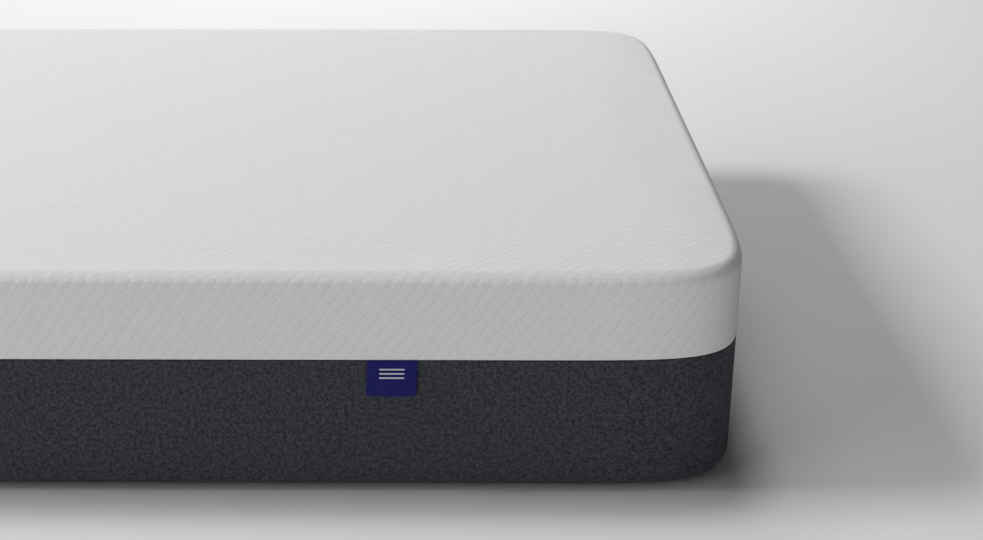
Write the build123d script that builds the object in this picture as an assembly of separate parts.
from build123d import *
import os

# A single memory foam mattress: a glued stack of three foam slabs inside a zipped two-part cover.
# The cover's top half (white knit) lifts off its base half (charcoal pile) once the zip is open.
#
# Frame: millimetres, origin at the centre of the underside, +X along the length, +Y across the
# width towards the side that carries the zip slider, +Z up.

# ---- overall sizes -----------------------------------------------------------
length = 2000.0
width = 1000.0
thickness = 250.0
corner_radius = 95.0            # the cover's corners, seen from above
top_roll = 15.0                 # rounding of the upper edge
bottom_roll = 22.0              # rounding of the lower edge

# ---- cover -------------------------------------------------------------------
top_pad = 6.0                   # sleeping surface: knit on a thin fibre pad
border_pad = 6.0                # side borders: knit or pile on spacer mesh
face_cloth = 1.2                # what is left of a border behind the zip, the face cloth alone
base_cloth = 2.0                # underside cloth
border_split = 154.0            # height where the white border meets the charcoal one
border_gap = 1.2                # slit between the two borders that the zip's slider runs in
under_margin = 35.0             # how far the charcoal border turns under the mattress
base_inner_roll = 18.0          # inside rounding where the charcoal border turns under
core_clearance = 0.5            # cover to foam

# ---- foam --------------------------------------------------------------------
memory_foam_height = 50.0
transition_foam_height = 40.0
foam_edge_roll = 5.0            # eased upper edge of the memory foam

# ---- zip, lying behind the slit ----------------------------------------------
zip_pocket = 16.0               # height of the thinned border each side of the slit
tape_thickness = 0.6
tape_height = 13.0
tape_edge = 0.9                 # slit's middle to the tape's edge
coil_thickness = 1.6
coil_height = 2.3
coil_edge = 0.7                 # slit's middle to the coil's edge
zip_end_gap = 40.0              # stretch at the zip's ends where no coil runs
zip_end_x = 850.0               # where the coil stops, on the rear side
stop_length = 3.0
pin_length = 14.0
pin_offset = 8.0                # from the end of the coil to the insertion pin and its box

# ---- slider and pull tab -----------------------------------------------------
slider_length = 14.0
slider_park = 20.0              # from the end of the coil to the parked slider's middle
slider_clearance = 0.4
slider_plate = 1.4
slider_flange = 1.2
neck_thickness = 0.6
neck_length = 6.0
crown_height = 5.0
crown_thickness = 1.1
crown_stand_off = 0.5
bail_radius = 0.6
bail_stand_off = 2.2            # crown's face to the bail bar's middle
bail_span = 9.0
bail_leg = 1.2
tab_width = 6.0
tab_length = 24.0
tab_thickness = 1.3
tab_eye = 0.85                  # radius of the pull tab's eye around the bail bar
tab_eye_boss = 1.7

# ---- labels, threads, grip dots ----------------------------------------------
label_width = 52.0
label_height = 38.0
label_thickness = 1.2           # woven satin, folded in two
label_from_end = 374.0          # label's middle, from the end at +X
flap_clearance = 0.3            # hanging flaps to the border behind them
mark_thickness = 0.2
mark_bars = 3
mark_bar_length = 26.0
mark_bar_height = 1.6
mark_bar_pitch = 4.6
mark_drop = 8.0                 # label's upper edge to the first woven bar
care_width = 40.0
care_height = 60.0
care_thickness = 0.6
care_drop = 18.0                # slit's middle to the care label's upper edge
thread = 0.8
tape_thread = 0.4
tape_thread_rise = 9.0          # slit's middle to the stitching that holds a tape
join_x = -830.0                 # where each border strip's ends are sewn together, on the rear side
dot_radius = 5.0
dot_height = 0.8
dot_pitch = 120.0
dots_long = 15
dots_across = 7

# ---- worked out --------------------------------------------------------------
core_inset = border_pad + core_clearance
panel_underside = thickness - top_pad
foam_top = panel_underside - core_clearance
memory_bottom = foam_top - memory_foam_height
transition_bottom = memory_bottom - transition_foam_height
rear = width / 2
front = -width / 2
left_end = -length / 2
white_low = border_split + border_gap / 2
charcoal_high = border_split - border_gap / 2
top_roll_start = thickness - top_roll
top_seam_rise = panel_underside - top_roll_start
top_seam_inset = top_roll - (top_roll**2 - top_seam_rise**2) ** 0.5
top_seam_heights = (panel_underside - thread / 2, panel_underside + thread / 2)
join_span = (join_x - thread / 2, join_x + thread / 2)
tape_inset = face_cloth
coil_inset = face_cloth + tape_thickness
coil_back = coil_inset + coil_thickness
slider_x = zip_end_x - slider_park
label_x = length / 2 - label_from_end
over = 10.0                     # how far a cutting solid runs past what it cuts


def block(inset, low, high):
    """The mattress's outline pulled in by inset, from one height to another."""
    outline = RectangleRounded(length - 2 * inset, width - 2 * inset, corner_radius - inset)
    return extrude(Plane.XY.offset(low) * outline, amount=high - low)


def ring(outer_inset, inner_inset, low, high):
    """A wall that follows the outline."""
    return block(outer_inset, low, high) - block(inner_inset, low - over, high + over)


def box(x_range, y_range, z_range):
    """A box from its lowest and highest corner, in any order."""
    spans = [sorted(r) for r in (x_range, y_range, z_range)]
    size = [high - low for low, high in spans]
    middle = [(high + low) / 2 for low, high in spans]
    return Pos(*middle) * Box(*size)


def rolled_up(solid, radius):
    """Round the upper edge."""
    return fillet(solid.faces().sort_by(Axis.Z)[-1].edges(), radius)


def rolled_under(solid, radius):
    """Round the lower edge."""
    return fillet(solid.faces().sort_by(Axis.Z)[0].edges(), radius)


# ---- white top half of the cover ---------------------------------------------
def top_outer():
    """The white half's outside, solid through."""
    return rolled_up(block(0, white_low, thickness), top_roll)


def top_groove():
    """The slot that the stitching of the upper seam lies in, cut from outside."""
    low, high = top_seam_heights
    return block(-over, low, high) - block(top_seam_inset + thread, low - over, high + over)


def join_groove(low, high):
    """The upright groove where a border strip's two ends are sewn together."""
    return box(join_span, (rear - thread, rear + over), (low, high))


def join_thread(low, high):
    return box(join_span, (rear - thread, rear), (low, high))


def top_panel():
    above_seam = block(-over, panel_underside, thickness + over)
    return (top_outer() & above_seam) - top_groove()


def top_side_band():
    below_seam = block(-over, white_low, panel_underside)
    wall = (top_outer() & below_seam) - block(border_pad, white_low - over, panel_underside + over)
    pocket = block(face_cloth, white_low - over, border_split + zip_pocket)
    return wall - pocket - top_groove() - join_groove(white_low, top_roll_start)


def top_seam_thread():
    return ring(top_seam_inset, top_seam_inset + thread, *top_seam_heights)


def top_band_join_thread():
    return join_thread(white_low, top_roll_start)


# ---- charcoal base half of the cover -----------------------------------------
def base_groove(low):
    return ring(under_margin - thread / 2, under_margin + thread / 2, low, thread)


def base_side_band():
    outer = rolled_under(block(0, 0, charcoal_high), bottom_roll)
    inside = rolled_under(block(border_pad, base_cloth, charcoal_high + over), base_inner_roll)
    underside = block(under_margin, -over, base_cloth + over)
    pocket = block(face_cloth, border_split - zip_pocket, charcoal_high + over)
    shell = outer - inside - underside - pocket - base_groove(-over)
    return shell - join_groove(bottom_roll, charcoal_high)


def base_band_join_thread():
    return join_thread(bottom_roll, charcoal_high)


def dot_places():
    return GridLocations(dot_pitch, dot_pitch, dots_long, dots_across)


def grip_dots():
    dot = Pos(0, 0, dot_height / 2) * Cylinder(dot_radius, dot_height)
    return [place * dot for place in dot_places()]


def base_panel():
    sheet = block(under_margin, 0, base_cloth) - base_groove(-over)
    pockets = [
        Pos(0, 0, (dot_height - over) / 2) * place * Cylinder(dot_radius, dot_height + over)
        for place in dot_places()
    ]
    return sheet - pockets


def base_seam_thread():
    return base_groove(thread / 4)


# ---- foam core ---------------------------------------------------------------
def support_foam():
    return rolled_under(block(core_inset, base_cloth, transition_bottom), base_inner_roll)


def transition_foam():
    return block(core_inset, transition_bottom, memory_bottom)


def memory_foam():
    return rolled_up(block(core_inset, memory_bottom, foam_top), foam_edge_roll)


# ---- zip ---------------------------------------------------------------------
def beside_slit(side, near, far):
    """The low and high of a span that lies near to far from the slit, above it or below it."""
    return sorted((border_split + side * near, border_split + side * far))


def zip_tape(side):
    low, high = beside_slit(side, tape_edge, tape_edge + tape_height)
    return ring(tape_inset, coil_inset, low, high)


def zip_coil(side):
    low, high = beside_slit(side, coil_edge, coil_edge + coil_height)
    gap_x = (zip_end_x, zip_end_x + zip_end_gap)
    gap_y = (rear - 2 * border_pad, rear + over)
    gap = box(gap_x, gap_y, (low - over, high + over))
    return ring(coil_inset, coil_back, low, high) - gap


def rear_block(x_start, x_length, inset, depth, heights):
    """A small piece on the inside of the rear border."""
    return box((x_start, x_start + x_length), (rear - inset, rear - inset - depth), heights)


def end_stop(side):
    heights = beside_slit(side, coil_edge, coil_edge + coil_height)
    return rear_block(zip_end_x, stop_length, coil_inset, coil_thickness, heights)


def insert_pin():
    heights = beside_slit(1, coil_edge, coil_edge + coil_height)
    return rear_block(zip_end_x + pin_offset, pin_length, coil_inset, coil_thickness, heights)


def pin_box():
    heights = beside_slit(-1, coil_edge, coil_edge + 2 * coil_height)
    body = rear_block(zip_end_x + pin_offset, pin_length, coil_inset, 2 * coil_thickness, heights)
    return fillet(body.edges().filter_by(Axis.Y), coil_height / 4)


def tape_stitching(side):
    low, high = beside_slit(side, tape_thread_rise, tape_thread_rise + thread)
    return ring(coil_inset, coil_inset + tape_thread, low, high)


# ---- slider and pull tab -----------------------------------------------------
plate_inset = coil_back + slider_clearance
crown_face = rear + crown_stand_off + crown_thickness
bail_y = crown_face + bail_stand_off


def zip_slider():
    """Runs on the lower coil. Its neck comes out through the slit and carries the crown and bail."""
    x_ends = (slider_x - slider_length / 2, slider_x + slider_length / 2)
    below = coil_edge + coil_height + slider_clearance
    plate = box(
        x_ends,
        (rear - plate_inset, rear - plate_inset - slider_plate),
        (border_split - below - slider_flange, border_split + coil_edge + coil_height),
    )
    flange = box(
        x_ends,
        (rear - coil_inset - slider_clearance, rear - plate_inset),
        (border_split - below - slider_flange, border_split - below),
    )
    neck = box(
        (slider_x - neck_length / 2, slider_x + neck_length / 2),
        (rear - plate_inset, rear + crown_stand_off),
        (border_split - neck_thickness / 2, border_split + neck_thickness / 2),
    )
    crown = box(
        x_ends,
        (rear + crown_stand_off, crown_face),
        (border_split - crown_height / 2, border_split + crown_height / 2),
    )
    crown = fillet(crown.edges().filter_by(Axis.Y), crown_height / 4)
    bar = Pos(slider_x, bail_y, border_split) * Rot(0, 90, 0) * Cylinder(bail_radius, bail_span)
    legs = [
        box(
            (slider_x + side * bail_span / 2, slider_x + side * (bail_span / 2 + bail_leg)),
            (crown_face, bail_y + bail_radius),
            (border_split - bail_radius, border_split + bail_radius),
        )
        for side in (-1, 1)
    ]
    return plate + flange + neck + crown + bar + legs


def zip_pull_tab():
    """Hangs from the bail by an eye."""
    boss = Rot(0, 90, 0) * Cylinder(tab_eye_boss, tab_width)
    blade = box(
        (-tab_width / 2, tab_width / 2),
        (-tab_thickness / 2, tab_thickness / 2),
        (-tab_length, -tab_eye_boss / 2),
    )
    blade = fillet(blade.edges().filter_by(Axis.Y).group_by(Axis.Z)[0], tab_width / 3)
    eye = Rot(0, 90, 0) * Cylinder(tab_eye, tab_width + over)
    return Pos(slider_x, bail_y, border_split) * (boss + blade - eye)


# ---- labels ------------------------------------------------------------------
label_pivot_y = front - flap_clearance - label_thickness / 2
label_pivot_z = border_split - label_thickness / 2


def label_tab():
    """The navy tab, folded in two, hanging from the seam over the charcoal border."""
    x_ends = (label_x - label_width / 2, label_x + label_width / 2)
    fold = Pos(label_x, label_pivot_y, label_pivot_z) * Rot(0, 90, 0) * Cylinder(
        label_thickness / 2, label_width
    )
    flap = box(
        x_ends,
        (label_pivot_y - label_thickness / 2, label_pivot_y + label_thickness / 2),
        (label_pivot_z - label_height, label_pivot_z),
    )
    return fold + flap


def label_root():
    """The tab's sewn-in edge, which stays in the slit."""
    return box(
        (label_x - label_width / 2, label_x + label_width / 2),
        (front, front + tape_inset),
        (border_split - border_gap / 4, border_split + border_gap / 2),
    )


def label_mark():
    """Plain woven bars on the tab's face."""
    face = label_pivot_y - label_thickness / 2
    top = label_pivot_z - mark_drop
    return [
        box(
            (label_x - mark_bar_length / 2, label_x + mark_bar_length / 2),
            (face - mark_thickness, face),
            (top - i * mark_bar_pitch - mark_bar_height, top - i * mark_bar_pitch),
        )
        for i in range(mark_bars)
    ]


care_pivot_x = left_end - flap_clearance - care_thickness / 2
care_pivot_z = border_split - care_drop


def care_label():
    """The satin care label, which hangs at the far end."""
    fold = Pos(care_pivot_x, 0, care_pivot_z) * Rot(90, 0, 0) * Cylinder(care_thickness / 2, care_width)
    flap = box(
        (care_pivot_x - care_thickness / 2, care_pivot_x + care_thickness / 2),
        (-care_width / 2, care_width / 2),
        (care_pivot_z - care_height, care_pivot_z),
    )
    return fold + flap


def care_label_thread():
    """The stitching above the care label's fold."""
    low = care_pivot_z + care_thickness / 2 + flap_clearance
    return box((left_end - thread / 2, left_end), (-care_width / 2, care_width / 2), (low, low + thread))


# ---- write the nodes ---------------------------------------------------------
def keep(name, made):
    """Write one node. A list of solids becomes one node of separate solids."""
    solids = [s for m in (made if isinstance(made, list) else [made]) for s in m.solids()]
    shape = solids[0] if len(solids) == 1 else Compound(children=solids)
    export_step(shape, os.path.join("parts", name + ".step"))
    print(name, len(solids), round(sum(s.volume for s in solids) / 1000, 2), "cm3")


os.makedirs("parts", exist_ok=True)
keep("top_panel", top_panel())
keep("top_side_band", top_side_band())
keep("top_seam_thread", top_seam_thread())
keep("top_band_join_thread", top_band_join_thread())
keep("upper_zip_tape", zip_tape(1))
keep("upper_zip_coil", zip_coil(1))
keep("upper_tape_thread", tape_stitching(1))
keep("upper_end_stop", end_stop(1))
keep("zip_insert_pin", insert_pin())
keep("label_root", label_root())
keep("label_tab", label_tab())
keep("label_mark", label_mark())
keep("base_side_band", base_side_band())
keep("base_panel", base_panel())
keep("grip_dots", grip_dots())
keep("base_seam_thread", base_seam_thread())
keep("base_band_join_thread", base_band_join_thread())
keep("lower_zip_tape", zip_tape(-1))
keep("lower_zip_coil", zip_coil(-1))
keep("lower_tape_thread", tape_stitching(-1))
keep("lower_end_stop", end_stop(-1))
keep("zip_pin_box", pin_box())
keep("zip_slider", zip_slider())
keep("zip_pull_tab", zip_pull_tab())
keep("care_label", care_label())
keep("care_label_thread", care_label_thread())
keep("support_foam", support_foam())
keep("transition_foam", transition_foam())
keep("memory_foam", memory_foam())
